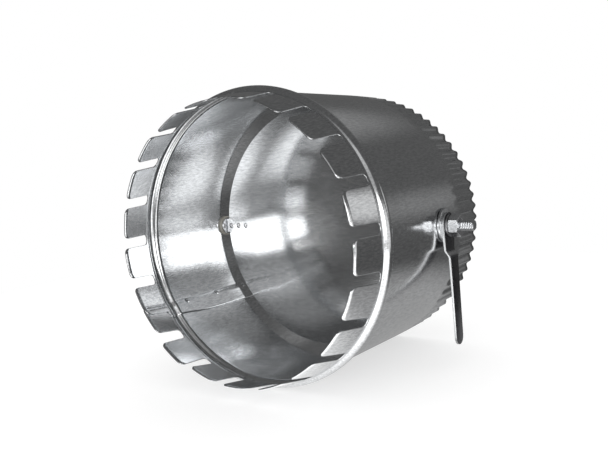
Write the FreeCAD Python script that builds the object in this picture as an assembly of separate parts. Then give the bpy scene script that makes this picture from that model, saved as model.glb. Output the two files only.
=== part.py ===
import FreeCAD, Part
import math
import os

# A six inch take-off collar with a butterfly damper and a hand lever, all lengths in millimetres
# X runs along the damper axle towards the lever, Y along the tube towards the crimped end, Z is up
# The origin lies on the tube's axis in the plane of the bead
# Angles round the tube start at +X and grow towards +Z

# Rolled sheet metal tube
tube_radius = 76.2
sheet_thickness = 0.6
tube_end_y = 112.8

# Bead that stops against the plenum wall
bead_height = 2.8
bead_half_width = 4.4
bead_foot_radius = 1.3

# Tabs that pass through the plenum wall and are folded over behind it
tab_count = 21
tab_length = 20.3
tab_lean_deg = 10.3
tab_gap_width = 5.8
tab_gap_end_radius = 2.2
tab_corner_radius = 3.0
tab_root_flat = 0.4

# Crimped male end that slips into the next pipe
crimp_start_y = 84.9
crimp_ramp_length = 5.0
crimp_count = 72
crimp_depth = 1.8
crimp_end_reduction = 0.5
crimp_point_count = 6

# Lap seam along the tube: the sheet's last stretch steps inwards and lies behind its first
seam_edge_angle_deg = 217.5
seam_lap_width = 10.8
seam_line_width = 0.35
joggle_width = 2.4

# Clinch buttons that hold the lap
clinch_first_y = 12.6
clinch_pitch = 26.3
clinch_count = 3
clinch_set_in = 1.5
clinch_radius = 1.5
clinch_slope = 0.3
clinch_recess = 0.3
clinch_raise = 0.4

# Damper axle
axle_y = 65.2
running_gap = 0.05
seat_gap = 0.05
assembly_gap = 0.1

# Damper blade
blade_side_gap = 0.05
blade_thickness = 0.9
blade_rim_round = 0.2

# Threaded stub axle on the lever side
stud_radius = 3.175
stud_reach = 17.2
stud_end_chamfer = 0.7
stud_flats_across = 5.0
stud_tang_width = 10.0
stud_tang_thickness = 2.6
stud_tang_margin = 5.2

# Plain stub axle on the idle side
pin_radius = 2.4
pin_reach = 2.5
pin_end_chamfer = 0.6
pin_tang_width = 8.0
pin_tang_thickness = 2.0
pin_tang_margin = 2.8

# Swelling where each stub axle runs into its tang
swell_length = 6.0
swell_end_radius = 0.9

# Rivets through the blade and each tang
rivets_each = 3
rivet_pitch = 5.8
rivet_edge = 3.2
rivet_radius = 1.1
rivet_hole_gap = 0.05
front_head_radius = 1.7
front_head_height = 0.6
rear_head_radius = 2.0
rear_head_height = 0.8

# Flanged bushings in the wall
bushing_flange = 1.4
bushing_rim_round = 0.3
handle_barrel_wall = 1.5
handle_flange_radius = 7.0
idle_barrel_wall = 1.5
idle_flange_radius = 6.0
barrel_set_back = 0.2

# Thrust washers between the bushings and the tangs
thrust_washer_thickness = 1.0
stud_thrust_radius = 6.3
pin_thrust_radius = 5.2
thrust_bore_gap = 0.15

# Flat washer under the lever
lever_washer_radius = 9.3
lever_washer_bore_gap = 0.45
lever_washer_thickness = 1.6
punched_edge_round = 0.3

# Lever
lever_thickness = 1.2
lever_length = 64.5
lever_head_radius = 7.0
lever_neck_drop = 19.0
lever_neck_half_width = 4.9
lever_tip_radius = 4.5
joggle_start_drop = 12.7
joggle_end_drop = 17.2
joggle_offset = 2.2
lever_splay_deg = 1.5
lever_bend_radius = 1.6
lever_hole_gap = 0.05

# Lock washer and nut
lock_washer_thickness = 1.4
lock_washer_bore_gap = 0.15
lock_washer_radius = 6.2
lock_washer_split = 1.0
lock_washer_turn_deg = 30.0
nut_sides = 6
nut_across_flats = 11.1
nut_height = 5.5
nut_chamfer = 0.7
thread_gap = 0.02

# Room that cutting tools get past what they cut, and the least that they leave
cut_margin = 2.0
tool_sliver = 0.05

# Places worked out from the sizes above
wall_inner = tube_radius - sheet_thickness
flange_face_x = wall_inner - seat_gap - bushing_flange
shoulder_x = flange_face_x - assembly_gap - thrust_washer_thickness
blade_radius = shoulder_x - blade_side_gap
stud_end_x = tube_radius + stud_reach
pin_end_x = tube_radius + pin_reach
washer_inner_x = tube_radius + seat_gap
lever_inner_x = washer_inner_x + lever_washer_thickness + running_gap
lever_outer_x = lever_inner_x + lever_thickness
nut_seat_x = lever_outer_x + lock_washer_thickness
seam_lap_deg = math.degrees(seam_lap_width / wall_inner)
seam_start_deg = seam_edge_angle_deg - seam_lap_deg
seam_line_deg = math.degrees(seam_line_width / tube_radius)
joggle_deg = math.degrees(joggle_width / wall_inner)
clinch_angle_deg = seam_start_deg + math.degrees(clinch_set_in / wall_inner)
tab_gap_deg = math.degrees(tab_gap_width / tube_radius)
tab_pitch_deg = (360 + seam_lap_deg) / tab_count
tab_lean = math.radians(tab_lean_deg)
tab_root_y = -bead_half_width - tab_root_flat
tab_tip_y = tab_root_y - tab_length * math.cos(tab_lean)
handle_side = 1
idle_side = -1

origin = FreeCAD.Vector(0, 0, 0)
tube_axis = FreeCAD.Vector(0, 1, 0)
round_axis = FreeCAD.Vector(0, -1, 0)
axle_axis = FreeCAD.Vector(1, 0, 0)


def at_angle(radius, angle_deg, y=0.0):
    # A point on a circle round the tube's axis
    angle = math.radians(angle_deg)
    return FreeCAD.Vector(radius * math.cos(angle), y, radius * math.sin(angle))


def turned(shape, angle_deg):
    # A copy of a shape swung round the tube's axis
    copy = shape.copy()
    copy.rotate(origin, round_axis, angle_deg)
    return copy


def line(start, end):
    return Part.LineSegment(start, end).toShape()


def arc(start, middle, end):
    return Part.Arc(start, middle, end).toShape()


def meridian(offset):
    # The tube's outline from the tab's tip to the start of the crimps, at a depth below its outside
    base = tube_radius - offset
    tip_radius = tube_radius - tab_length * math.sin(tab_lean)
    tip = FreeCAD.Vector(tip_radius - offset * math.cos(tab_lean),
                         tab_tip_y + offset * math.sin(tab_lean), 0)
    root = FreeCAD.Vector(base, tab_root_y + offset * math.tan(tab_lean / 2), 0)
    foot_front = FreeCAD.Vector(base, -bead_half_width, 0)
    foot_back = FreeCAD.Vector(base, bead_half_width, 0)
    end = FreeCAD.Vector(base, crimp_start_y, 0)

    # The bead is a crest arc between two foot arcs, tangent to the tube and to each other
    reach = (bead_half_width ** 2 + bead_height ** 2) / (2 * bead_height)
    crest_radius = reach - bead_foot_radius
    crest_centre = FreeCAD.Vector(tube_radius + bead_height - crest_radius, 0, 0)
    crest_top = FreeCAD.Vector(tube_radius + bead_height - offset, 0, 0)
    edges = [line(tip, root), line(root, foot_front)]
    meets = []
    middles = []
    for side in (-1, 1):
        foot_centre = FreeCAD.Vector(tube_radius + bead_foot_radius, side * bead_half_width, 0)
        towards_crest = (crest_centre - foot_centre).normalize()
        half_way = (towards_crest + FreeCAD.Vector(-1, 0, 0)).normalize()
        meets.append(foot_centre + towards_crest * (bead_foot_radius + offset))
        middles.append(foot_centre + half_way * (bead_foot_radius + offset))
    edges.append(arc(foot_front, middles[0], meets[0]))
    edges.append(arc(meets[0], crest_top, meets[1]))
    edges.append(arc(meets[1], middles[1], foot_back))
    edges.append(line(foot_back, end))
    return edges, tip, end


def sheet_band(outer_offset, inner_offset, angle_deg):
    # A layer of the tube's sheet between two depths, swept round from angle zero
    outer, outer_tip, outer_end = meridian(outer_offset)
    inner, inner_tip, inner_end = meridian(inner_offset)
    loop = outer + [line(outer_end, inner_end)] + inner[::-1] + [line(inner_tip, outer_tip)]
    return Part.Face(Part.Wire(loop)).revolve(origin, round_axis, angle_deg)


def crimp_wire(y, depth, reduction, offset):
    # A closed wave round the tube: crests keep their radius and valleys are pressed inwards
    points = []
    steps = crimp_count * crimp_point_count
    for step in range(steps):
        angle = 2 * math.pi * step / steps
        valley = depth * (1 - math.cos(crimp_count * angle)) / 2
        points.append(at_angle(tube_radius - reduction - valley - offset, math.degrees(angle), y))
    curve = Part.BSplineCurve()
    curve.interpolate(Points=points, PeriodicFlag=True)
    return Part.Wire(curve.toShape())


def crimp_form(offset):
    # The filled form of the crimped end at a depth below its outside
    ramp_end_y = crimp_start_y + crimp_ramp_length
    wires = [crimp_wire(crimp_start_y, 0.0, 0.0, offset),
             crimp_wire(ramp_end_y, crimp_depth, 0.0, offset),
             crimp_wire(tube_end_y, crimp_depth, crimp_end_reduction, offset)]
    return Part.makeLoft(wires, True, True)


def joggle_wedge():
    # What the sloping joggle leaves out of the lap's square edge behind the bead
    outside = at_angle(wall_inner, seam_start_deg)
    inside = at_angle(wall_inner - sheet_thickness, seam_start_deg + joggle_deg)
    slope = (inside - outside).normalize()
    past_outside = outside - slope * sheet_thickness
    past_inside = inside + slope * sheet_thickness
    corner = at_angle(wall_inner - 2 * sheet_thickness, seam_start_deg - joggle_deg)
    face = Part.Face(Part.makePolygon([past_outside, past_inside, corner, past_outside]))
    wedge = face.extrude(FreeCAD.Vector(0, tube_end_y + bead_half_width + cut_margin, 0))
    wedge.translate(FreeCAD.Vector(0, bead_half_width, 0))
    return wedge


def lap_layer():
    # The second layer of sheet at the seam, let into the tube's own wall by half a thickness
    layer = sheet_band(sheet_thickness / 2, 2 * sheet_thickness, seam_lap_deg)
    return turned(layer, seam_start_deg).cut([joggle_wedge(), tab_gap(tab_count)])


def seam_line():
    # The line outside the tube where the sheet's first end meets the joggle
    outside = sheet_band(-cut_margin, sheet_thickness / 2, seam_line_deg)
    return turned(outside, seam_start_deg - seam_line_deg)


def tab_gap(number):
    # The gap after one tab, counted round from the sheet's first end
    middle_deg = seam_start_deg + number * tab_pitch_deg - tab_gap_deg / 2
    return turned(tab_gap_tool(), middle_deg)


def tab_gap_tool():
    # One slot between two tabs: rounded at its closed end, and flared where it rounds the tabs' corners
    half = tab_gap_width / 2
    inside_x = tube_radius - tab_length * math.sin(tab_lean) - 2 * sheet_thickness - cut_margin
    end_radius = min(tab_gap_end_radius, half - tool_sliver)
    corner_y = tab_tip_y + tab_corner_radius
    flare = half + tab_corner_radius
    arc_middle = 1 - math.cos(math.pi / 4)

    def place(across, y):
        return FreeCAD.Vector(inside_x, y, across)

    mouths = [place(side * flare, tab_tip_y - cut_margin) for side in (-1, 1)]
    edges = [line(place(-half + end_radius, tab_root_y), place(half - end_radius, tab_root_y)),
             line(mouths[0], mouths[1])]
    for side, mouth in zip((-1, 1), mouths):
        inner_end = place(side * (half - end_radius), tab_root_y)
        inner_middle = place(side * (half - end_radius * arc_middle), tab_root_y - end_radius * arc_middle)
        straight_start = place(side * half, tab_root_y - end_radius)
        straight_end = place(side * half, corner_y)
        flare_middle = place(side * (half + tab_corner_radius * arc_middle),
                             tab_tip_y + tab_corner_radius * arc_middle)
        flare_end = place(side * flare, tab_tip_y)
        edges.append(arc(inner_end, inner_middle, straight_start))
        edges.append(line(straight_start, straight_end))
        edges.append(arc(straight_end, flare_middle, flare_end))
        edges.append(line(flare_end, mouth))
    face = Part.Face(Part.Wire(Part.__sortEdges__(edges)))
    return face.extrude(FreeCAD.Vector(tube_radius + cut_margin - inside_x, 0, 0))


def wall_hole(side, radius):
    # The round hole for a bushing, through one wall
    start = FreeCAD.Vector(side * (wall_inner - 2 * cut_margin), axle_y, 0)
    return Part.makeCylinder(radius, sheet_thickness + 4 * cut_margin, start, axle_axis * side)


def clinch_button(y, raised):
    # A pressed button on the seam: a shallow dish inside the tube and a low boss outside it
    foot = at_angle(1.0, clinch_angle_deg)
    if raised:
        start = foot * (tube_radius - sheet_thickness / 2)
        height = sheet_thickness / 2 + clinch_raise
        shape = Part.makeCone(clinch_radius + clinch_raise, clinch_radius, height, start, foot)
    else:
        start = foot * (wall_inner - 2 * sheet_thickness)
        height = 2 * sheet_thickness + clinch_recess
        shape = Part.makeCone(clinch_radius + clinch_slope, clinch_radius - clinch_slope, height,
                              start, foot)
    shape.translate(FreeCAD.Vector(0, y, 0))
    return shape


def collar_sleeve():
    tube = sheet_band(0.0, sheet_thickness, 360)
    crimped_end = crimp_form(0.0).cut(crimp_form(sheet_thickness))
    sleeve = tube.fuse([crimped_end, lap_layer()])
    cuts = [tab_gap(number) for number in range(1, tab_count)]
    cuts.append(seam_line())
    cuts.append(wall_hole(handle_side, handle_barrel_radius() + running_gap))
    cuts.append(wall_hole(idle_side, idle_barrel_radius() + running_gap))
    button_rows = [clinch_first_y + index * clinch_pitch for index in range(clinch_count)]
    bosses = [clinch_button(y, True) for y in button_rows]
    cuts += [clinch_button(y, False) for y in button_rows]
    return sleeve.fuse(bosses).cut(cuts)


def handle_barrel_radius():
    return stud_radius + running_gap + handle_barrel_wall


def idle_barrel_radius():
    return pin_radius + running_gap + idle_barrel_wall


def rim_at(shape, x):
    # The circular edge of a turned piece whose centre is nearest a place on the axle
    rims = [edge for edge in shape.Edges if isinstance(edge.Curve, Part.Circle)]
    return min(rims, key=lambda edge: abs(edge.Curve.Center.x - x))


def bushing(side, bore_radius, barrel_radius, flange_radius):
    # A nylon bearing pushed in from inside, its flange curved to seat on the wall
    direction = axle_axis * side
    flange_start = FreeCAD.Vector(side * flange_face_x, axle_y, 0)
    flange = Part.makeCylinder(flange_radius, tube_radius - flange_face_x, flange_start, direction)
    flange = flange.makeFillet(bushing_rim_round, [rim_at(flange, side * flange_face_x)])
    room = Part.makeCylinder(wall_inner - seat_gap, 4 * flange_radius,
                             FreeCAD.Vector(0, axle_y - 2 * flange_radius, 0), tube_axis)
    barrel_length = tube_radius - barrel_set_back - flange_face_x
    barrel = Part.makeCylinder(barrel_radius, barrel_length, flange_start, direction)
    bore = Part.makeCylinder(bore_radius, tube_radius, FreeCAD.Vector(0, axle_y, 0), direction)
    return flange.common(room).fuse(barrel).cut(bore).removeSplitter()


def washer(inner_x, thickness, bore_radius, radius, side, edge_round):
    # A flat ring on the axle, with punched edges rounded on its outer face
    start = FreeCAD.Vector(side * inner_x, axle_y, 0)
    ring = Part.makeCylinder(radius, thickness, start, axle_axis * side)
    if edge_round:
        ring = ring.makeFillet(edge_round, [rim_at(ring, side * (inner_x + thickness))])
    bore = Part.makeCylinder(bore_radius, 4 * thickness, start - axle_axis * side * thickness,
                             axle_axis * side)
    return ring.cut(bore)


def rivet_places(side):
    # The rivets stand in a row on the axle line, the first one near the blade's rim
    return [side * (blade_radius - rivet_edge - index * rivet_pitch) for index in range(rivets_each)]


def stub_axle(side, radius, end_x, chamfer, tang_width, tang_thickness, tang_margin):
    # A round pin whose inner end is flattened into a tang that lies on the back of the blade
    half = tang_width / 2
    inner_x = abs(rivet_places(side)[-1]) - tang_margin
    corner_x = inner_x + half

    def place(x, z):
        return FreeCAD.Vector(side * x, axle_y, z)

    outline = [line(place(shoulder_x, half), place(corner_x, half)),
               arc(place(corner_x, half), place(inner_x, 0), place(corner_x, -half)),
               line(place(corner_x, -half), place(shoulder_x, -half)),
               line(place(shoulder_x, -half), place(shoulder_x, half))]
    tang = Part.Face(Part.Wire(outline)).extrude(FreeCAD.Vector(0, tang_thickness, 0))

    # The pin runs into the tang's back as a half-round swelling, so the blade still lies flat
    direction = axle_axis * side
    swell_start = FreeCAD.Vector(side * (shoulder_x - swell_length), axle_y, 0)
    swelling = Part.makeCone(swell_end_radius, radius, swell_length, swell_start, direction)
    keep = Part.makeBox(4 * swell_length, 2 * radius, 4 * radius)
    keep.translate(FreeCAD.Vector(side * shoulder_x - 2 * swell_length, axle_y, -2 * radius))
    pin = Part.makeCylinder(radius, end_x - shoulder_x - chamfer,
                            FreeCAD.Vector(side * shoulder_x, axle_y, 0), direction)
    tip = Part.makeCone(radius, radius - chamfer, chamfer,
                        FreeCAD.Vector(side * (end_x - chamfer), axle_y, 0), direction)
    shape = tang.fuse([swelling.common(keep), pin, tip]).removeSplitter()
    return shape.cut([rivet_hole(x) for x in rivet_places(side)])


def rivet_hole(x):
    start = FreeCAD.Vector(x, axle_y - blade_thickness - cut_margin, 0)
    depth = blade_thickness + max(stud_tang_thickness, pin_tang_thickness) + 2 * cut_margin
    return Part.makeCylinder(rivet_radius + rivet_hole_gap, depth, start, tube_axis)


def threaded_stud():
    stud = stub_axle(handle_side, stud_radius, stud_end_x, stud_end_chamfer, stud_tang_width,
                     stud_tang_thickness, stud_tang_margin)
    return stud.cut(flat_cutters(stud_flats_across / 2))


def flat_cutters(half_across):
    # Two blocks that leave a double D between them, from the lever washer outwards
    blocks = []
    for side in (-1, 1):
        block = Part.makeBox(stud_end_x - washer_inner_x, stud_radius, 4 * stud_radius)
        low_y = axle_y + half_across if side > 0 else axle_y - half_across - stud_radius
        block.translate(FreeCAD.Vector(washer_inner_x + running_gap, low_y, -2 * stud_radius))
        blocks.append(block)
    return blocks


def idle_axle():
    return stub_axle(idle_side, pin_radius, pin_end_x, pin_end_chamfer, pin_tang_width,
                     pin_tang_thickness, pin_tang_margin)


def button_head(radius, height, y, direction):
    # A low domed rivet head: a slice of a ball on a flat seat
    ball_radius = (radius ** 2 + height ** 2) / (2 * height)
    centre = FreeCAD.Vector(0, y - direction * (ball_radius - height), 0)
    ball = Part.makeSphere(ball_radius, centre)
    slab = Part.makeCylinder(ball_radius, 2 * height, FreeCAD.Vector(0, y, 0), tube_axis * direction)
    return ball.common(slab)


def rivet_row(side, tang_thickness):
    # Rivets with a domed head in front of the blade and a formed head behind the tang
    front_y = axle_y - blade_thickness
    back_y = axle_y + tang_thickness
    shank = Part.makeCylinder(rivet_radius, back_y - front_y, FreeCAD.Vector(0, front_y, 0), tube_axis)
    front = button_head(front_head_radius, front_head_height, front_y, -1)
    rear = button_head(rear_head_radius, rear_head_height, back_y, 1)
    rivet = shank.fuse([front, rear])
    row = []
    for x in rivet_places(side):
        copy = rivet.copy()
        copy.translate(FreeCAD.Vector(x, 0, 0))
        row.append(copy)
    return Part.makeCompound(row)


def damper_blade():
    disc = Part.makeCylinder(blade_radius, blade_thickness,
                             FreeCAD.Vector(0, axle_y - blade_thickness, 0), tube_axis)
    rims = [edge for edge in disc.Edges if isinstance(edge.Curve, Part.Circle)]
    disc = disc.makeFillet(blade_rim_round, rims)
    holes = [rivet_hole(x) for x in rivet_places(handle_side) + rivet_places(idle_side)]
    return disc.cut(holes)


def bent_strip(points, thickness, radius):
    # The side view of a bent strip: its middle line set off both ways, with round bends
    half = thickness / 2
    sides = []
    for sign in (1, -1):
        corners = []
        for index, point in enumerate(points):
            before = points[max(index - 1, 0)]
            after = points[min(index + 1, len(points) - 1)]
            normals = []
            for start, end in ((before, point), (point, after)):
                if (end - start).Length > 0:
                    way = (end - start).normalize()
                    normals.append(FreeCAD.Vector(-way.z, 0, way.x))
            bisector = (normals[0] + normals[-1]).normalize()
            stretch = half / bisector.dot(normals[0])
            corners.append(point + bisector * sign * stretch)
        sides.append(corners)
    edges = []
    for sign, corners in zip((1, -1), sides):
        start = corners[0]
        for index in range(1, len(corners) - 1):
            into = (corners[index] - corners[index - 1]).normalize()
            out = (corners[index + 1] - corners[index]).normalize()
            turn = into.getAngle(out)
            left_turn = into.x * out.z - into.z * out.x > 0
            bend = radius - sign * half if left_turn else radius + sign * half
            back = bend * math.tan(turn / 2)
            arc_start = corners[index] - into * back
            arc_end = corners[index] + out * back
            inwards = (out - into).normalize()
            middle = corners[index] + inwards * bend * (1 / math.cos(turn / 2) - 1)
            edges.append(line(start, arc_start))
            edges.append(arc(arc_start, middle, arc_end))
            start = arc_end
        edges.append(line(start, corners[-1]))
    edges.append(line(sides[0][0], sides[1][0]))
    edges.append(line(sides[0][-1], sides[1][-1]))
    return Part.Face(Part.Wire(Part.__sortEdges__(edges)))


def lever_outline():
    # The lever seen from outside: a round head, straight sides that narrow, and a round tip
    neck_z = -lever_neck_drop
    tip_z = -lever_length + lever_tip_radius
    reach = math.hypot(lever_neck_half_width, lever_neck_drop)
    tangent_angle = math.atan2(neck_z, lever_neck_half_width) + math.acos(lever_head_radius / reach)
    head_y = lever_head_radius * math.cos(tangent_angle)
    head_z = lever_head_radius * math.sin(tangent_angle)

    def place(y, z):
        return FreeCAD.Vector(0, axle_y + y, z)

    edges = [arc(place(-head_y, head_z), place(0, lever_head_radius), place(head_y, head_z)),
             line(place(head_y, head_z), place(lever_neck_half_width, neck_z)),
             line(place(lever_neck_half_width, neck_z), place(lever_tip_radius, tip_z)),
             arc(place(lever_tip_radius, tip_z), place(0, -lever_length), place(-lever_tip_radius, tip_z)),
             line(place(-lever_tip_radius, tip_z), place(-lever_neck_half_width, neck_z)),
             line(place(-lever_neck_half_width, neck_z), place(-head_y, head_z))]
    return Part.Face(Part.Wire(edges))


def damper_lever():
    # The joggle carries the strip clear of the bead, and the hole fits the stud's flats
    middle_x = lever_inner_x + lever_thickness / 2
    lower_drop = lever_length + cut_margin
    splay = (lower_drop - joggle_end_drop) * math.tan(math.radians(lever_splay_deg))
    path = [FreeCAD.Vector(middle_x, 0, lever_head_radius + cut_margin),
            FreeCAD.Vector(middle_x, 0, -joggle_start_drop),
            FreeCAD.Vector(middle_x + joggle_offset, 0, -joggle_end_drop),
            FreeCAD.Vector(middle_x + joggle_offset + splay, 0, -lower_drop)]
    strip = bent_strip(path, lever_thickness, lever_bend_radius)
    strip.translate(FreeCAD.Vector(0, axle_y - 2 * lever_head_radius, 0))
    strip = strip.extrude(FreeCAD.Vector(0, 4 * lever_head_radius, 0))
    cutter = lever_outline().extrude(FreeCAD.Vector(2 * stud_end_x, 0, 0))
    hole_start = FreeCAD.Vector(lever_inner_x - cut_margin, axle_y, 0)
    hole = Part.makeCylinder(stud_radius + lever_hole_gap, lever_thickness + 2 * cut_margin,
                             hole_start, axle_axis)
    hole = hole.cut(flat_cutters(stud_flats_across / 2 + lever_hole_gap))
    return strip.common(cutter).cut(hole)


def lock_washer():
    ring = washer(lever_outer_x, lock_washer_thickness, stud_radius + lock_washer_bore_gap,
                  lock_washer_radius, handle_side, 0.0)
    split = Part.makeBox(4 * lock_washer_thickness, lock_washer_split, 2 * lock_washer_radius)
    split.translate(FreeCAD.Vector(-2 * lock_washer_thickness, -lock_washer_split / 2, 0))
    split.rotate(origin, FreeCAD.Vector(0, 0, 1), lock_washer_turn_deg)
    split.translate(FreeCAD.Vector(lever_outer_x + lock_washer_thickness / 2, axle_y, 0))
    return ring.cut(split)


def hex_nut():
    # A hexagon whose corners are turned off by a cone at each end, flats facing front and back
    corner_radius = nut_across_flats / 2 / math.cos(math.pi / nut_sides)
    corners = []
    for index in range(nut_sides + 1):
        angle = 2 * math.pi * index / nut_sides
        corners.append(FreeCAD.Vector(nut_seat_x, axle_y + corner_radius * math.sin(angle),
                                      corner_radius * math.cos(angle)))
    prism = Part.Face(Part.makePolygon(corners)).extrude(axle_axis * nut_height)
    start = FreeCAD.Vector(nut_seat_x, axle_y, 0)
    turned_form = Part.makeCylinder(corner_radius, nut_height, start, axle_axis)
    turned_form = turned_form.makeChamfer(nut_chamfer, [edge for edge in turned_form.Edges
                                                        if isinstance(edge.Curve, Part.Circle)])
    bore = Part.makeCylinder(stud_radius + thread_gap, 3 * nut_height,
                             start - axle_axis * nut_height, axle_axis)
    return prism.common(turned_form).cut(bore)


def stud_thrust_washer():
    return washer(shoulder_x, thrust_washer_thickness, stud_radius + thrust_bore_gap,
                  stud_thrust_radius, handle_side, 0.0)


def idle_thrust_washer():
    return washer(shoulder_x, thrust_washer_thickness, pin_radius + thrust_bore_gap,
                  pin_thrust_radius, idle_side, 0.0)


def handle_bushing():
    return bushing(handle_side, stud_radius + running_gap, handle_barrel_radius(), handle_flange_radius)


def idle_bushing():
    return bushing(idle_side, pin_radius + running_gap, idle_barrel_radius(), idle_flange_radius)


def lever_washer():
    return washer(washer_inner_x, lever_washer_thickness, stud_radius + lever_washer_bore_gap,
                  lever_washer_radius, handle_side, punched_edge_round)


def stud_rivets():
    return rivet_row(handle_side, stud_tang_thickness)


def idle_axle_rivets():
    return rivet_row(idle_side, pin_tang_thickness)


sub_parts = [collar_sleeve, damper_blade, threaded_stud, idle_axle, stud_rivets, idle_axle_rivets,
             handle_bushing, idle_bushing, stud_thrust_washer, idle_thrust_washer, lever_washer,
             damper_lever, lock_washer, hex_nut]

os.makedirs("parts", exist_ok=True)
for make in sub_parts:
    shape = make()
    shape.exportStep("parts/" + make.__name__ + ".step")
    print(make.__name__, "solids", len(shape.Solids), "valid", shape.isValid(),
          "volume", round(shape.Volume, 1))
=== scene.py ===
# %% [markdown]
# # A sheet metal collar with a damper, from flat sheet to studio picture
#
# This lesson dresses a six inch take-off collar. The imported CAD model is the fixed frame: it says where
# every piece is and what moves. Each cell makes one piece or one finish of the real object, in metres.
# Bright rolled metal shows every facet, so the CAD triangles are replaced by smooth meshes that are made
# the way the tinsmith makes them: a notched strip is rolled up, a disc is cut, a bar is bent.

# %% Load the frame
import bmesh
import bpy
import math
import random
from mathutils import Matrix, Vector


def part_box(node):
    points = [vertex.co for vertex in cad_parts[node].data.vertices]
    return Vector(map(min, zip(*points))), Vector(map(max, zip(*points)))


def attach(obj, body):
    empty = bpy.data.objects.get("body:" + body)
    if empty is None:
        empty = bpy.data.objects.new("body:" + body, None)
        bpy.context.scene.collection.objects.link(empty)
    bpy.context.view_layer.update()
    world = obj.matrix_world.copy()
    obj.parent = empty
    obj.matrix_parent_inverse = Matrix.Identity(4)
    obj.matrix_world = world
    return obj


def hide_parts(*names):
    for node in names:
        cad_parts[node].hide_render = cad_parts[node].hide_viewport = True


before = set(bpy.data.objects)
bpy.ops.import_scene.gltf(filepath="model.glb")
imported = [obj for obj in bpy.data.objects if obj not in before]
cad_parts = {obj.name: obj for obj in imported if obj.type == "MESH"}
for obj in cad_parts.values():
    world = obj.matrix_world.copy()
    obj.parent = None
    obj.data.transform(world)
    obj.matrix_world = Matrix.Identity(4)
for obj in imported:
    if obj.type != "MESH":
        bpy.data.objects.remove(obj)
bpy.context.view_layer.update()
random.seed(6)

# %% [markdown]
# ## Sizes
# The frame gives the places: the boxes of the nodes say where the tube ends, where the axle runs and how
# thick the blade is. Sizes that a box can't tell, such as the bead's foot or the tabs' lean, are written
# here once, in millimetres turned into metres by `MM`. The blade is drawn a little smaller than its node,
# because the photo shows a wide dark ring between the blade and the wall.

# %% Sizes from the frame, and the sheet's own sizes
MM = 0.001
sleeve_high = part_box("collar_sleeve")[1]
blade_low, blade_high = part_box("damper_blade")
stud_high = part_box("threaded_stud")[1]
lever_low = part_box("damper_lever")[0]
nut_low, nut_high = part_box("hex_nut")
lock_low, lock_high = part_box("lock_washer")

BEAD_HEIGHT = 2.8 * MM
BEAD_HALF_WIDTH = 4.4 * MM
BEAD_FOOT_RADIUS = 1.3 * MM
TUBE_RADIUS = sleeve_high.x - BEAD_HEIGHT
TUBE_END_Y = sleeve_high.y
SHEET = 0.6 * MM
AXLE_Y = blade_high.y
WIDER_RING = 1.2 * MM
BLADE_RADIUS = blade_high.x - WIDER_RING
BLADE_THICKNESS = blade_high.y - blade_low.y
STUD_RADIUS = 3.175 * MM
print("tube radius", round(TUBE_RADIUS / MM, 2), "axle at", round(AXLE_Y / MM, 2), "mm")

# %% [markdown]
# ## Small helpers
# A finished piece needs the same four things each time: a mesh object at the origin, smooth shading that
# breaks at sharp edges, a material, and a parent empty for the body it rides on, with the CAD nodes that
# it stands for hidden. Two helpers do all of them, so no piece can be forgotten.

# %% Helpers that finish a piece
SHARP_ANGLE = math.radians(32)


def mesh_object(name, bm, sharp_angle=SHARP_ANGLE):
    # Normals are worked out again first, because a spin or a mirror can leave a shape inside out
    bmesh.ops.recalc_face_normals(bm, faces=bm.faces)
    for face in bm.faces:
        face.smooth = True
    for edge in bm.edges:
        edge.smooth = edge.calc_face_angle(0) < sharp_angle
    mesh = bpy.data.meshes.new(name)
    bm.to_mesh(mesh)
    bm.free()
    piece = bpy.data.objects.new(name, mesh)
    bpy.context.scene.collection.objects.link(piece)
    return piece


def finish_piece(piece, material, body, slot, *nodes):
    # Gives a piece its finish, its body and the CAD nodes that it stands for; slot is not used
    piece.data.materials.append(material)
    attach(piece, body)
    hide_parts(*nodes)
    print(piece.name, "rides on", body, "with", len(piece.data.polygons), "faces before modifiers")
    return piece


def join_in(bm, other):
    # Adds another bmesh to this one and frees it
    mesh = bpy.data.meshes.new("joined in")
    other.to_mesh(mesh)
    other.free()
    bm.from_mesh(mesh)
    bpy.data.meshes.remove(mesh)


def round_point(radius, angle_deg, y):
    # A point on a circle round the tube's axis, with angles from +X towards +Z
    angle = math.radians(angle_deg)
    return Vector((radius * math.cos(angle), y, radius * math.sin(angle)))


def even_places(start, end, count):
    # Evenly spaced places after the start, up to the end
    return [start + (end - start) * step / count for step in range(1, count + 1)]


def smooth_step(value):
    # Goes from 0 to 1 and is level at both ends
    value = min(max(value, 0.0), 1.0)
    return value * value * (3 - 2 * value)


print("helpers ready; edges sharper than", round(math.degrees(SHARP_ANGLE)), "degrees stay sharp")

# %% [markdown]
# ## Finishes
# Nearly every surface here is metal. Galvanised sheet is a mirror that has been rolled: it has a fine
# grain of short scratches, a faint cloud in its gloss and large soft waves that bend a reflection. Three
# noise textures give those three scales. The scratches and the waves go into the bump, and the cloud
# into the roughness. The scratches also change the colour between two close greys, because a scratch
# that is much narrower than a pixel shows as a darker thread and not as a slope.

# %% Node helpers
def new_material(name, colour, metallic, roughness):
    material = bpy.data.materials.new(name)
    material.use_nodes = True
    shader = material.node_tree.nodes["Principled BSDF"]
    shader.inputs["Base Color"].default_value = (*colour, 1)
    shader.inputs["Metallic"].default_value = metallic
    shader.inputs["Roughness"].default_value = roughness
    return material, shader


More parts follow.
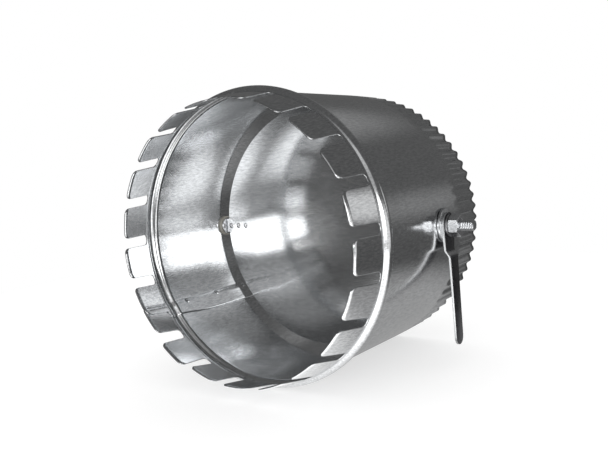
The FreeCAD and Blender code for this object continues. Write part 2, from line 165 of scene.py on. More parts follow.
def add_noise(material, scale, stretch=(1, 1, 1), detail=3.0, noise_roughness=0.5):
    # Noise in object coordinates, stretched by a different factor along each axis
    nodes, links = material.node_tree.nodes, material.node_tree.links
    place = nodes.new("ShaderNodeTexCoord")
    mapping = nodes.new("ShaderNodeMapping")
    mapping.inputs["Scale"].default_value = stretch
    noise = nodes.new("ShaderNodeTexNoise")
    noise.inputs["Scale"].default_value = scale
    noise.inputs["Detail"].default_value = detail
    noise.inputs["Roughness"].default_value = noise_roughness
    links.new(place.outputs["Object"], mapping.inputs["Vector"])
    links.new(mapping.outputs["Vector"], noise.inputs["Vector"])
    return noise.outputs["Fac"]


def spread(material, value, low, high, from_low=0.3, from_high=0.7):
    # Maps a noise value, which rarely leaves 0.3 to 0.7, to the range that a socket needs
    nodes, links = material.node_tree.nodes, material.node_tree.links
    node = nodes.new("ShaderNodeMapRange")
    node.inputs["From Min"].default_value = from_low
    node.inputs["From Max"].default_value = from_high
    node.inputs["To Min"].default_value = low
    node.inputs["To Max"].default_value = high
    links.new(value, node.inputs["Value"])
    return node.outputs["Result"]


TINT_FROM, TINT_TO = 0.35, 0.65


def tint(material, value, dark, light):
    # A soft change of colour between two close shades
    nodes, links = material.node_tree.nodes, material.node_tree.links
    ramp = nodes.new("ShaderNodeValToRGB")
    ramp.color_ramp.elements[0].position = TINT_FROM
    ramp.color_ramp.elements[0].color = (*dark, 1)
    ramp.color_ramp.elements[1].position = TINT_TO
    ramp.color_ramp.elements[1].color = (*light, 1)
    links.new(value, ramp.inputs["Fac"])
    return ramp.outputs["Color"]


def bump_chain(material, shader, layers):
    # Each layer is a height value and its depth in metres; they are laid on each other
    nodes, links = material.node_tree.nodes, material.node_tree.links
    normal = None
    for height, depth in layers:
        bump = nodes.new("ShaderNodeBump")
        bump.inputs["Distance"].default_value = depth
        links.new(height, bump.inputs["Height"])
        if normal:
            links.new(normal, bump.inputs["Normal"])
        normal = bump.outputs["Normal"]
    links.new(normal, shader.inputs["Normal"])


print("node helpers ready")

# %% The sheet metal finish
CLOUDS_PER_M = 45
SCRATCHES_PER_M = 1300
WAVES_PER_M = 18
WAVE_DEPTH = 0.1 * MM


def rolled_sheet(name, dark, light, gloss_low, gloss_high, grain_depth, along):
    # along stretches the grain: small numbers make long scratches in that direction
    material, shader = new_material(name, light, 1.0, gloss_low)
    links = material.node_tree.links
    cloud = add_noise(material, CLOUDS_PER_M, detail=3.0)
    grain = add_noise(material, SCRATCHES_PER_M, along, detail=2.0, noise_roughness=0.6)
    wave = add_noise(material, WAVES_PER_M, detail=0.0)
    links.new(tint(material, grain, dark, light), shader.inputs["Base Color"])
    links.new(spread(material, cloud, gloss_low, gloss_high), shader.inputs["Roughness"])
    bump_chain(material, shader, [(wave, WAVE_DEPTH), (grain, grain_depth)])
    print(name, "made with cloud, grain and wave noise")
    return material


galvanised = rolled_sheet("galvanised sheet", (0.62, 0.63, 0.64), (0.80, 0.81, 0.82),
                          0.13, 0.16, 0.012 * MM, (1, 0.2, 1))
blade_metal = rolled_sheet("blade sheet", (0.65, 0.66, 0.67), (0.77, 0.78, 0.79),
                           0.11, 0.14, 0.008 * MM, (0.2, 1, 1))

# %% [markdown]
# The fixings are plated steel. One recipe serves them all: a mottled colour and gloss, and fine tool
# marks in the bump. Their numbers are the colour, its darker shade, the roughness, how close the marks
# stand and how deep they are.

# %% Finishes of the fixings
MOTTLES_PER_M = 400
HANDLED_GLOSS = 0.12
MARK_DEPTH = 0.03 * MM


def plated_steel(name, colour, shade, roughness, marks_per_m, mark_depth=MARK_DEPTH, stretch=(1, 1, 1)):
    # Bright plate: a slightly uneven colour, handling marks in the gloss and fine tool marks
    material, shader = new_material(name, colour, 1.0, roughness)
    links = material.node_tree.links
    mottle = add_noise(material, MOTTLES_PER_M, detail=4.0)
    marks = add_noise(material, marks_per_m, stretch, detail=2.0)
    links.new(tint(material, mottle, shade, colour), shader.inputs["Base Color"])
    links.new(spread(material, mottle, roughness, roughness + HANDLED_GLOSS), shader.inputs["Roughness"])
    bump_chain(material, shader, [(marks, mark_depth)])
    return material


zinc_plate = plated_steel("zinc plate", (0.80, 0.81, 0.83), (0.70, 0.71, 0.72), 0.16, 1800)
spring_steel = plated_steel("spring steel", (0.50, 0.50, 0.51), (0.40, 0.40, 0.41), 0.28, 2500)
rivet_metal = plated_steel("rivet metal", (0.74, 0.74, 0.75), (0.66, 0.66, 0.67), 0.18, 2200, 0.04 * MM)
# The lever's dark colour is painted shade for the dark room that its face mirrors
lever_steel = plated_steel("lever steel", (0.15, 0.15, 0.16), (0.10, 0.10, 0.11), 0.24, 1500,
                           stretch=(1, 1, 0.15))
print("zinc plate, spring steel, rivet metal and lever steel are ready")

# %% [markdown]
# The lever's face is painted dark, as painted shade for the dark room that the face mirrors, and its
# sheared edges are painted bright, as a painted highlight that shows as a thin bright line. The edge could
# be a second piece, but the real lever has no seam there. So the finish looks at the surface's own
# direction
# in object coordinates: the face points along X and gets the painted shade, and the rest gets the painted
# highlight.

# %% Painted edge highlight and painted face shade of the lever
def painted_edge_highlight(material, colour, face_from, face_to):
    # Between the two shares of X in the surface's direction the painted edge highlight turns into the
    # face's painted shade
    nodes, links = material.node_tree.nodes, material.node_tree.links
    base = nodes["Principled BSDF"].inputs["Base Color"]
    dark_face = base.links[0].from_socket
    place = nodes.new("ShaderNodeTexCoord")
    split = nodes.new("ShaderNodeSeparateXYZ")
    links.new(place.outputs["Normal"], split.inputs[0])
    facing = nodes.new("ShaderNodeMath")
    facing.operation = "ABSOLUTE"
    links.new(split.outputs["X"], facing.inputs[0])
    mix = nodes.new("ShaderNodeMix")
    mix.data_type = "RGBA"
    links.new(spread(material, facing.outputs[0], 0.0, 1.0, face_from, face_to), mix.inputs["Factor"])
    mix.inputs["A"].default_value = (*colour, 1)
    links.new(dark_face, mix.inputs["B"])
    links.new(mix.outputs["Result"], base)


# The bright colour on the lever's edges is a painted highlight
painted_edge_highlight(lever_steel, (0.86, 0.87, 0.88), 0.80, 0.92)
print("lever steel has painted edge highlights")

# %% [markdown]
# The bushings are natural nylon, a milky cream that hardly shines. Their cream is painted darker, as
# painted shade for the narrow gap that they sit in. It could be a plastic that lets light through, but the
# two flanges are small and would look the same. So it is an opaque plastic with a slow blotch in its
# colour and a faint moulded skin in the bump.

# %% Nylon of the bushings
NYLON_ROUGHNESS = 0.42
BLOTCHES_PER_M = 250
PORES_PER_M = 3000
SKIN_DEPTH = 0.01 * MM


def moulded_nylon(light, dark):
    material, shader = new_material("natural nylon", light, 0.0, NYLON_ROUGHNESS)
    links = material.node_tree.links
    blotch = add_noise(material, BLOTCHES_PER_M, detail=2.0)
    skin = add_noise(material, PORES_PER_M, detail=1.0)
    links.new(tint(material, blotch, dark, light), shader.inputs["Base Color"])
    bump_chain(material, shader, [(skin, SKIN_DEPTH)])
    return material


# The cream is painted darker, as painted shade for the narrow gap that the bushings sit in
nylon = moulded_nylon((0.50, 0.48, 0.43), (0.44, 0.42, 0.37))
print("nylon is ready")

# %% [markdown]
# ## The sleeve, rolled from a notched strip
# On the real collar this is one strip of sheet. A press notches its front edge into tabs, rolls run the
# bead and the crimps into it, and the ends lap over each other and are clinched. A spun profile could
# make the tube, but not the notches and the lap. So the strip is made flat as one grid, the notches are
# deleted, and every vertex is then carried to its place on the rolled tube. The normals stay smooth
# across the bead because nothing is joined afterwards.

# %% Outline of the rolled sheet, from the tabs to the crimped end
TAB_COUNT = 21
TAB_LENGTH = 20.3 * MM
TAB_LEAN = math.radians(10.3)
TAB_GAP = 5.8 * MM
TAB_CORNER = 3.0 * MM
GAP_END_RADIUS = 2.2 * MM
BEAD_MARGIN = 0.4 * MM
BEAD_ARC_STEPS = 4
TAB_ROOT_Y = -(BEAD_HALF_WIDTH + BEAD_MARGIN)
CRIMP_START_Y = 84.9 * MM
CRIMP_RAMP = 5.0 * MM
CRIMP_COUNT = 72
CRIMP_DEPTH = 1.8 * MM
CRIMP_END_REDUCTION = 0.5 * MM


def bead_outline(arc_steps):
    # Points (y, radius) over the bead: a foot arc, the crest arc and the other foot arc
    reach = (BEAD_HALF_WIDTH ** 2 + BEAD_HEIGHT ** 2) / (2 * BEAD_HEIGHT)
    crest_radius = reach - BEAD_FOOT_RADIUS
    crest_centre = TUBE_RADIUS + BEAD_HEIGHT - crest_radius
    foot_centre = TUBE_RADIUS + BEAD_FOOT_RADIUS
    swing = math.atan2(BEAD_HALF_WIDTH, foot_centre - crest_centre)
    half = []
    for step in range(arc_steps + 1):
        angle = swing * step / arc_steps
        half.append((-BEAD_HALF_WIDTH + BEAD_FOOT_RADIUS * math.sin(angle),
                     foot_centre - BEAD_FOOT_RADIUS * math.cos(angle)))
    for step in range(1, 2 * arc_steps + 1):
        angle = swing * (1 - step / (2 * arc_steps))
        half.append((-crest_radius * math.sin(angle), crest_centre + crest_radius * math.cos(angle)))
    other = [(-y, radius) for y, radius in half[-2::-1]]
    return half + other


bead_rows = bead_outline(BEAD_ARC_STEPS)
print("bead outline has", len(bead_rows), "points")

# %% [markdown]
# The tube carries a round hole for each bushing. A grid can take a round hole without any cutting: the
# faces inside the hole are deleted, and the ragged edge that is left is pulled out onto the circle. The
# rows of the grid stand closer together there, so the circle gets enough points.

# %% Rows of the flat sheet: how far each lies along the strip's width
GAP_END_ROWS = 4
TAB_ROWS = 7
FRONT_ROWS = 6
HOLE_ROWS = 15
BACK_ROWS = 2
CRIMP_ROWS = 6
HOLE_ZONE = 9.0 * MM
# A first narrow row keeps the bead's tilted normals from shading the whole wall beside it
FOOT_ROW = BEAD_HALF_WIDTH + BEAD_MARGIN
tube_rows = [FOOT_ROW] + even_places(FOOT_ROW, AXLE_Y - HOLE_ZONE, FRONT_ROWS)
tube_rows += even_places(AXLE_Y - HOLE_ZONE, AXLE_Y + HOLE_ZONE, HOLE_ROWS)
tube_rows += even_places(AXLE_Y + HOLE_ZONE, CRIMP_START_Y, BACK_ROWS)
crimp_rows = even_places(CRIMP_START_Y, CRIMP_START_Y + CRIMP_RAMP, CRIMP_ROWS)
crimp_rows += even_places(CRIMP_START_Y + CRIMP_RAMP, TUBE_END_Y, CRIMP_ROWS)

rows = []
for step in range(TAB_ROWS, 0, -1):
    rows.append(("tab", GAP_END_RADIUS + (TAB_LENGTH - GAP_END_RADIUS) * step / TAB_ROWS))
for step in range(GAP_END_ROWS, 0, -1):
    rows.append(("tab", GAP_END_RADIUS * (1 - math.cos(math.pi / 2 * step / GAP_END_ROWS))))
rows.append(("wall", (TAB_ROOT_Y, TUBE_RADIUS)))
rows += [("wall", point) for point in bead_rows]
rows += [("wall", (y, TUBE_RADIUS)) for y in tube_rows]
rows += [("crimp", y) for y in crimp_rows]
ROOT_ROW = TAB_ROWS + GAP_END_ROWS
print("sheet has", len(rows), "rows")

# %% Columns of one tab and the notch beside it
SEAM_EDGE_DEG = 217.5
LAP_WIDTH = 10.8 * MM
LAP_DEG = math.degrees(LAP_WIDTH / (TUBE_RADIUS - SHEET))
LAP_JOGGLE = 2.4 * MM
JOGGLE_DEG = math.degrees(LAP_JOGGLE / (TUBE_RADIUS - SHEET))
SEAM_START_DEG = SEAM_EDGE_DEG - LAP_DEG
PITCH_DEG = (360 + LAP_DEG) / TAB_COUNT
PITCH = math.radians(PITCH_DEG) * TUBE_RADIUS
TAB_WIDTH = PITCH - TAB_GAP
CORNER_COLUMNS = 4
MIDDLE_COLUMNS = 18
NOTCH_COLUMNS = 2
COLUMNS_EACH = 2 * CORNER_COLUMNS + MIDDLE_COLUMNS + NOTCH_COLUMNS


def tab_columns():
    # Distances across one tab: close together where its corners are round
    edge = [TAB_CORNER * (1 - math.cos(math.pi / 2 * step / CORNER_COLUMNS))
            for step in range(CORNER_COLUMNS + 1)]
    middle = even_places(TAB_CORNER, TAB_WIDTH - TAB_CORNER, MIDDLE_COLUMNS)
    return edge + middle + [TAB_WIDTH - distance for distance in edge[-2::-1]]


across = tab_columns()
print("tab width", round(TAB_WIDTH / MM, 2), "mm,", len(across), "columns, pitch", round(PITCH_DEG, 2))

# %% [markdown]
# Two things must happen to a flat vertex. Across the strip it finds its place on the tab or the tube.
# Along the strip it finds its angle. The tab's rounded corners and the rounded end of each notch come
# from moving the columns, so the outline is smooth and the faces stay quads. Real tabs are bent by hand
# when the collar is handled, so each leans a little more or less than the next, and one at the lower
# left stands clearly further out.

# %% How each tab leans and how the lap steps in
LEAN_SPREAD_DEG = 1.5
TWIST_SPREAD_DEG = 1.2
BENT_TAB = 1
BENT_TAB_DEG = -7.0
RELAX_START = BEAD_HALF_WIDTH
RELAX_LENGTH = 25 * MM
LAP_STEP = 1.05 * SHEET
EDGE_ROUND = 0.9 * MM
EDGE_ROUND_DEG = math.degrees(EDGE_ROUND / TUBE_RADIUS)
EDGE_DROP = 0.26 * MM


def random_angles(most_deg):
    # One angle for each tab, and one more for the column that ends the strip
    return [math.radians(random.uniform(-most_deg, most_deg)) for tab in range(TAB_COUNT + 1)]


tab_extra_lean = random_angles(LEAN_SPREAD_DEG)
tab_twist = random_angles(TWIST_SPREAD_DEG)
tab_extra_lean[BENT_TAB] += math.radians(BENT_TAB_DEG)


def lap_inset(angle_deg):
    # The last stretch of the strip steps inwards and lies behind its first stretch; its sheared edge is
    # rounded off a little
    past = (angle_deg - SEAM_START_DEG - 360) / JOGGLE_DEG
    rounding = (angle_deg - SEAM_EDGE_DEG - 360 + EDGE_ROUND_DEG) / EDGE_ROUND_DEG
    return LAP_STEP * min(max(past, 0.0), 1.0) - EDGE_DROP * min(max(rounding, 0.0), 1.0)


print("tabs lean by", round(math.degrees(TAB_LEAN), 1), "degrees, more or less by", LEAN_SPREAD_DEG)


# %% Places on one tab
def place_across(column, depth):
    # Distance across a tab or its notch, for a column at a depth from the tab's root
    if column < len(across):
        place = across[column]
    else:
        place = TAB_WIDTH + TAB_GAP * (column - len(across) + 1) / NOTCH_COLUMNS
    if depth >= GAP_END_RADIUS:
        return place
    room = GAP_END_RADIUS - math.sqrt(GAP_END_RADIUS ** 2 - (GAP_END_RADIUS - depth) ** 2)
    if column < len(across):
        return TAB_WIDTH / 2 + (place - TAB_WIDTH / 2) * (1 + 2 * room / TAB_WIDTH)
    share = (column - len(across) + 1) / NOTCH_COLUMNS
    return TAB_WIDTH + room + (TAB_GAP - 2 * room) * share


def tab_reach(place):
    # How far the tab reaches at this place across it: its corners are quarter circles
    into_corner = max(TAB_CORNER - min(place, TAB_WIDTH - place), 0.0)
    return TAB_LENGTH - TAB_CORNER + math.sqrt(max(TAB_CORNER ** 2 - into_corner ** 2, 0.0))


def tab_point(tab, column, depth, place):
    # Depth and radius of a point on a tab; every tab has its own lean and twist
    full = tab_reach(place) if column < len(across) else TAB_LENGTH
    if depth > GAP_END_RADIUS:
        stretch = (full - GAP_END_RADIUS) / (TAB_LENGTH - GAP_END_RADIUS)
        depth = GAP_END_RADIUS + (depth - GAP_END_RADIUS) * stretch
    side = 2 * (place - TAB_WIDTH / 2) / TAB_WIDTH
    lean = TAB_LEAN + tab_extra_lean[tab] + tab_twist[tab] * side * depth / TAB_LENGTH
    return TAB_ROOT_Y - depth * math.cos(TAB_LEAN), TUBE_RADIUS - depth * math.sin(lean)


print("a tab is", round(tab_reach(TAB_WIDTH / 2) / MM, 1), "mm long at its middle")


# %% Where a vertex of the flat sheet goes
def sheet_place(number, row_kind, row_value):
    # Carries a column and a row of the flat sheet to their point on the rolled tube
    tab, column = divmod(number, COLUMNS_EACH)
    even = number / COLUMNS_EACH * PITCH
    depth = row_value if row_kind == "tab" else 0.0
    place = place_across(column, depth)
    distance = tab * PITCH + place
    if row_kind == "tab":
        y, radius = tab_point(tab, column, depth, place)
    elif row_kind == "wall":
        y, radius = row_value
        ease = smooth_step((y - RELAX_START) / RELAX_LENGTH)
        distance = distance * (1 - ease) + even * ease
    else:
        y, radius, distance = row_value, TUBE_RADIUS, even
    angle_deg = SEAM_START_DEG + math.degrees(distance / TUBE_RADIUS)
    if row_kind == "crimp":
        ramp = smooth_step((y - CRIMP_START_Y) / CRIMP_RAMP)
        run = max((y - CRIMP_START_Y - CRIMP_RAMP) / (TUBE_END_Y - CRIMP_START_Y - CRIMP_RAMP), 0.0)
        wave = (1 - math.cos(math.radians(CRIMP_COUNT * angle_deg))) / 2
        radius -= CRIMP_DEPTH * ramp * wave + CRIMP_END_REDUCTION * run
    return round_point(radius - lap_inset(angle_deg), angle_deg, y)


print("first vertex lands at", [round(value / MM, 1) for value in sheet_place(0, *rows[0])], "mm")

# %% [markdown]
# Now the strip is made. `create_grid` gives the flat sheet with its rows and columns, the faces in the
# notches are deleted, and each vertex is moved. The Solidify modifier gives the sheet its real thickness
# inwards, so the outside keeps its size.

# %% Roll the sleeve
column_count = TAB_COUNT * COLUMNS_EACH
bm = bmesh.new()
bmesh.ops.create_grid(bm, x_segments=column_count, y_segments=len(rows) - 1, size=0.5)
# The grid runs from -0.5 to 0.5, so half a unit more gives a vertex's share of the columns and rows
places = {}
for vertex in bm.verts:
    number = round((vertex.co.x + 0.5) * column_count)
    row = round((vertex.co.y + 0.5) * (len(rows) - 1))
    places[vertex] = (number, row)

notches = []
for face in bm.faces:
    first_column = min(places[vertex][0] for vertex in face.verts) % COLUMNS_EACH
    last_row = max(places[vertex][1] for vertex in face.verts)
    if first_column >= len(across) - 1 and last_row <= ROOT_ROW:
        notches.append(face)
bmesh.ops.delete(bm, geom=notches, context="FACES")
for vertex in bm.verts:
    number, row = places[vertex]
    vertex.co = sheet_place(number, *rows[row])
print("strip of", column_count, "columns rolled,", len(notches), "notch faces removed")


# %% Open the two axle holes
def open_hole(bm, side, radius):
    # Faces inside the circle go, and the edge that is left is pulled onto the circle
    centre = Vector((side * TUBE_RADIUS, AXLE_Y, 0))
    near = [face for face in bm.faces if (face.calc_center_median() - centre).length < radius]
    bmesh.ops.delete(bm, geom=near, context="FACES")
    moved = 0
    for vertex in bm.verts:
        gap = vertex.co - centre
        if vertex.is_boundary and gap.length < 2 * radius:
            turn = math.atan2(vertex.co.z, gap.y)
            height = radius * math.sin(turn)
            outwards = math.sqrt(TUBE_RADIUS ** 2 - height ** 2)
            vertex.co = Vector((side * outwards, AXLE_Y + radius * math.cos(turn), height))
            moved += 1
    return moved


HANDLE_HOLE = 4.8 * MM
IDLE_HOLE = 4.05 * MM
print("hole edges:", open_hole(bm, 1, HANDLE_HOLE), open_hole(bm, -1, IDLE_HOLE))
sleeve = mesh_object("rolled_sleeve", bm)
wall = sleeve.modifiers.new("sheet thickness", "SOLIDIFY")
wall.thickness = SHEET
wall.offset = -1
finish_piece(sleeve, galvanised, "collar", "galvanised_sheet", "collar_sleeve")

# %% [markdown]
# ## Clinch marks on the seam
# Three small stakes hold the lap. A punch pushes both layers together and leaves a little raised star
# inside the tube and a shallow ring outside. Each mark is drawn flat as a star or a disc. A row of insets
# raises it in rings that get steeper and sinks its middle, so it has a slope for every direction of
# light. Its points are then carried onto the rolled sheet in the same way as the sheet's own.

# %% Stake the seam
CLINCH_INSET = 1.5 * MM
CLINCH_DEG = SEAM_START_DEG + math.degrees(CLINCH_INSET / (TUBE_RADIUS - SHEET))
CLINCH_COUNT = 3
CLINCH_FIRST_Y = 12.6 * MM
CLINCH_PITCH = 26.3 * MM
CLINCH_SPOKES = 8
CLINCH_ROOT = 0.05 * MM
CLINCH_SHARP = math.radians(80)
STAR_RADIUS, STAR_WAIST = 2.5 * MM, 0.66
DISC_RADIUS, DISC_WAIST = 1.7 * MM, 1.0
STAR_RINGS = ((0.28, 0.06), (0.28, 0.16), (0.28, 0.22), (0.28, -0.35))
DISC_RINGS = ((0.45, 0.12), (0.45, -0.10))


def clinch_mark(bm, y, radius, waist, rings, surface, way):
    # rings are pairs of inset and rise in mm; way is -1 on the inside of the tube and 1 on the outside
    mark = bmesh.new()
    made = bmesh.ops.create_circle(mark, cap_ends=True, radius=radius, segments=2 * CLINCH_SPOKES)
    for vertex in made["verts"][::2]:
        vertex.co *= waist
    top = list(mark.faces)
    for inset, rise in rings:
        bmesh.ops.inset_region(mark, faces=top, thickness=inset * MM, depth=rise * MM, use_boundary=True,
                               use_even_offset=True)
    for vertex in mark.verts:
        angle_deg = CLINCH_DEG + math.degrees(vertex.co.y / TUBE_RADIUS)
        height = abs(vertex.co.z) - CLINCH_ROOT
        vertex.co = round_point(surface(angle_deg) + way * height, angle_deg, y + vertex.co.x)
    join_in(bm, mark)


def inside_wall(angle_deg):
    # Radius of the inner layer's inside, which the lap carries further in
    return TUBE_RADIUS - SHEET - lap_inset(angle_deg + 360)


def outside_wall(angle_deg):
    return TUBE_RADIUS


bm = bmesh.new()
for index in range(CLINCH_COUNT):
    y = CLINCH_FIRST_Y + CLINCH_PITCH * index
    clinch_mark(bm, y, STAR_RADIUS, STAR_WAIST, STAR_RINGS, inside_wall, -1)
    clinch_mark(bm, y, DISC_RADIUS, DISC_WAIST, DISC_RINGS, outside_wall, 1)
marks = mesh_object("clinch_marks", bm, CLINCH_SHARP)
finish_piece(marks, galvanised, "collar", "galvanised_sheet", "collar_sleeve")

# %% [markdown]
# ## The blade
# The damper blade is a flat disc with a sheared edge that catches the light. A circle is extruded to its
# thickness and its two rims are bevelled. Insets give it rings of faces, because one face with 256
# corners would shade badly.

# %% Give a flat outline its thickness
RIM_ANGLE = math.radians(60)


def cut_from_sheet(bm, thickness, edge, segments):
    # Extrudes a flat outline by a vector and rounds its sheared edges
    made = bmesh.ops.extrude_face_region(bm, geom=list(bm.faces))
    moved = [item for item in made["geom"] if isinstance(item, bmesh.types.BMVert)]
    bmesh.ops.translate(bm, verts=moved, vec=thickness)
    bmesh.ops.recalc_face_normals(bm, faces=bm.faces)
    rim = [item for item in bm.edges if item.calc_face_angle(0) > RIM_ANGLE]
    bmesh.ops.bevel(bm, geom=rim, offset=edge, segments=segments, profile=0.5, affect="EDGES", material=-1)


print("edges that turn by more than", round(math.degrees(RIM_ANGLE)), "degrees count as sheared")

# %% Cut the blade
BLADE_EDGE = 0.2 * MM
BLADE_SIDES = 256
BLADE_RINGS = 3

bm = bmesh.new()
bmesh.ops.create_circle(bm, cap_ends=True, radius=BLADE_RADIUS, segments=BLADE_SIDES)
for ring in range(BLADE_RINGS):
    inner = [face for face in bm.faces if len(face.verts) == BLADE_SIDES]
    bmesh.ops.inset_region(bm, faces=inner, thickness=BLADE_RADIUS / (BLADE_RINGS + 1), use_boundary=True,
                           use_even_offset=True)
turn = Matrix.Rotation(math.radians(90), 4, "X")
bmesh.ops.transform(bm, matrix=Matrix.Translation((0, blade_low.y, 0)) @ turn, verts=bm.verts)
cut_from_sheet(bm, (0, BLADE_THICKNESS, 0), BLADE_EDGE, 3)
finish_piece(mesh_object("blade_disc", bm), blade_metal, "damper", "blade_sheet", "damper_blade")

# %% [markdown]
# ## Turned pieces on the axle
# Washers, the stud and the nut are all turned round the damper's axle. A profile is drawn beside the
# axle as a short chain of points and spun round it. The profile is written as pairs of place along the
# axle and radius, so each piece reads like a turner's drawing.

# %% Spin a profile round the axle
AXLE_POINT = Vector((0, AXLE_Y, 0))
AXLE_WAY = Vector((1, 0, 0))


def spin_profile(bm, profile, steps, closed=True, turns=1.0, climb=0.0):
    # Spins points (x, radius) round the axle; closed joins the last point to the first
    verts = [bm.verts.new((x, AXLE_Y, radius)) for x, radius in profile]
    pairs = list(zip(verts, verts[1:]))
    if closed:
        pairs.append((verts[-1], verts[0]))
    edges = [bm.edges.new(pair) for pair in pairs]
    bmesh.ops.spin(bm, geom=verts + edges, cent=AXLE_POINT, axis=AXLE_WAY, angle=2 * math.pi * turns,
                   steps=steps, dvec=(climb / steps, 0, 0), use_merge=climb == 0.0)


def rounded(x_low, x_high, inner, outer, edge):
    # The section of a flat ring with rounded outer corners
    cut = edge * (1 - math.cos(math.radians(45)))
    return [(x_low, inner), (x_low, outer - edge), (x_low + cut, outer - cut), (x_low + edge, outer),
            (x_high - edge, outer), (x_high - cut, outer - cut), (x_high, outer - edge), (x_high, inner)]


def from_axle(vertex):
    # The way out from the axle to a vertex
    return vertex.co - Vector((vertex.co.x, AXLE_Y, 0))


print("profiles are spun round the axle at y =", round(AXLE_Y / MM, 2), "mm")

# %% Turn the flat washer
WASHER_STEPS = 72
WASHER_PLAY = 0.45 * MM
WASHER_EDGE = 0.35 * MM
washer_low, washer_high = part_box("lever_washer")
section = rounded(washer_low.x, washer_high.x, STUD_RADIUS + WASHER_PLAY, washer_high.z, WASHER_EDGE)
bm = bmesh.new()
spin_profile(bm, section, WASHER_STEPS)
finish_piece(mesh_object("flat_washer", bm), zinc_plate, "collar", "zinc_plated_steel", "lever_washer")

# %% [markdown]
# ## The threaded stud
# The stud's outer end carries a quarter inch thread, twenty turns to the inch. A chain of points that is
# one thread pitch long is spun round the axle while it climbs one pitch a turn, so each turn joins the
# next. The two flats that carry the lever and the chamfer at the end are cut by pulling in the points
# that stand out of them. The stud's inner end, its flattened tang, is a copy of the CAD piece, cut off
# inside the nut and smoothed.

# %% Cut a copy of the stud and add the thread
THREAD_PITCH = 1.27 * MM
THREAD_DEPTH = 0.7 * MM
THREAD_STEPS = 40
FLAT_HALF = 2.5 * MM
THREAD_CREST = 0.125 * THREAD_PITCH
NUT_MIDDLE_X = (nut_low.x + nut_high.x) / 2
CAD_MERGE = 0.002 * MM
THREAD_MERGE = 0.01 * MM
FLAT_END = 0.001 * MM


def merged_copy(node):
    # A bmesh of a CAD node with its loose triangles joined up
    bm = bmesh.new()
    bm.from_mesh(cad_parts[node].data)
    bmesh.ops.remove_doubles(bm, verts=bm.verts, dist=CAD_MERGE)
    return bm


def thread_bmesh(start_x, end_x):
    # The thread from one place along the axle to another, with its flats, its chamfer and its end cap
    bm = bmesh.new()
    half = 0.5 * THREAD_PITCH
    root = STUD_RADIUS - THREAD_DEPTH
    wave = [(0, STUD_RADIUS), (THREAD_CREST, STUD_RADIUS), (half, root), (half + THREAD_CREST, root),
            (THREAD_PITCH, STUD_RADIUS)]
    turns = math.ceil((end_x - start_x) / THREAD_PITCH) + 1
    first_x = start_x - THREAD_PITCH
    spin_profile(bm, [(first_x + x, radius) for x, radius in wave], THREAD_STEPS * turns, closed=False,
                 turns=turns, climb=THREAD_PITCH * turns)
    bmesh.ops.remove_doubles(bm, verts=bm.verts, dist=THREAD_MERGE)
    for vertex in bm.verts:
        vertex.co.x = min(vertex.co.x, end_x)
        vertex.co.y = min(max(vertex.co.y, AXLE_Y - FLAT_HALF), AXLE_Y + FLAT_HALF)
        out = from_axle(vertex)
        most = STUD_RADIUS - max(vertex.co.x - (end_x - THREAD_DEPTH), 0.0)
        vertex.co -= out * max(1 - most / out.length, 0.0)
    spent = [face for face in bm.faces if min(vertex.co.x for vertex in face.verts) > end_x - FLAT_END]
    bmesh.ops.delete(bm, geom=spent, context="FACES")
    cap = bmesh.ops.create_circle(bm, cap_ends=True, segments=THREAD_STEPS, radius=root)
    turn = Matrix.Translation((end_x, AXLE_Y, 0)) @ Matrix.Rotation(math.radians(90), 4, "Y")
    bmesh.ops.transform(bm, matrix=turn, verts=cap["verts"])
    bmesh.ops.remove_doubles(bm, verts=bm.verts, dist=THREAD_MERGE)
    return bm


bm = merged_copy("threaded_stud")
bmesh.ops.bisect_plane(bm, geom=bm.verts[:] + bm.edges[:] + bm.faces[:], plane_co=(NUT_MIDDLE_X, 0, 0),
                       plane_no=(1, 0, 0), clear_outer=True)
join_in(bm, thread_bmesh(NUT_MIDDLE_X, stud_high.x))
finish_piece(mesh_object("stud_with_thread", bm), zinc_plate, "damper", "zinc_plated_steel",
             "threaded_stud")

# %% [markdown]
# ## The nut and the lock washer
# A hexagon nut is turned first and milled after. The same order works here: a nut's section is spun in
# many steps, each outer point is moved to the hexagon, and it is shifted along the axle by the slope of
# the chamfer's cone. That gives the curved line that a real nut has where its cone meets its flats. The
# lock washer is a ring with a cut: its section is spun almost all the way round while it climbs.

# %% Turn and mill the nut
NUT_ACROSS = 11.1 * MM
NUT_STEPS = 96
NUT_BORE_DEPTH = 0.5 * MM
NUT_BITE = 0.15 * MM
NUT_COUNTERSINK = 0.35 * MM
NUT_LAND = 0.15 * MM
NUT_SHARP = math.radians(20)
NUT_SOFTNESS = 0.1 * MM
NUT_SOFT_ANGLE = math.radians(25)
CONE_SLOPE = math.tan(math.radians(30))


def hexagon_radius(angle):
    # Distance from the axle to a hexagon's flat, with an angle that starts at a corner
    sector = math.radians(60)
    return NUT_ACROSS / 2 / math.cos(angle % sector - sector / 2)


bm = bmesh.new()
bore = STUD_RADIUS - NUT_BITE
land = NUT_ACROSS / 2 - NUT_LAND
countersink = STUD_RADIUS + NUT_COUNTERSINK
inside, outside = nut_low.x + NUT_BORE_DEPTH, nut_high.x - NUT_BORE_DEPTH
section = [(inside, bore), (nut_low.x, countersink), (nut_low.x, land), (nut_low.x, NUT_ACROSS),
           (nut_high.x, NUT_ACROSS), (nut_high.x, land), (nut_high.x, countersink), (outside, bore)]
spin_profile(bm, section, NUT_STEPS)
for vertex in bm.verts:
    out = from_axle(vertex)
    if out.length > NUT_ACROSS / 2:
        wanted = hexagon_radius(math.atan2(out.y, out.z))
        vertex.co -= out * (1 - wanted / out.length)
        shift = (wanted - land) * CONE_SLOPE
        vertex.co.x += shift if vertex.co.x < NUT_MIDDLE_X else -shift
nut = mesh_object("hexagon_nut", bm, NUT_SHARP)
soften = nut.modifiers.new("soft edges", "BEVEL")
soften.width = NUT_SOFTNESS
soften.segments = 2
soften.limit_method = "ANGLE"
soften.angle_limit = NUT_SOFT_ANGLE
finish_piece(nut, zinc_plate, "damper", "zinc_plated_steel", "hex_nut")

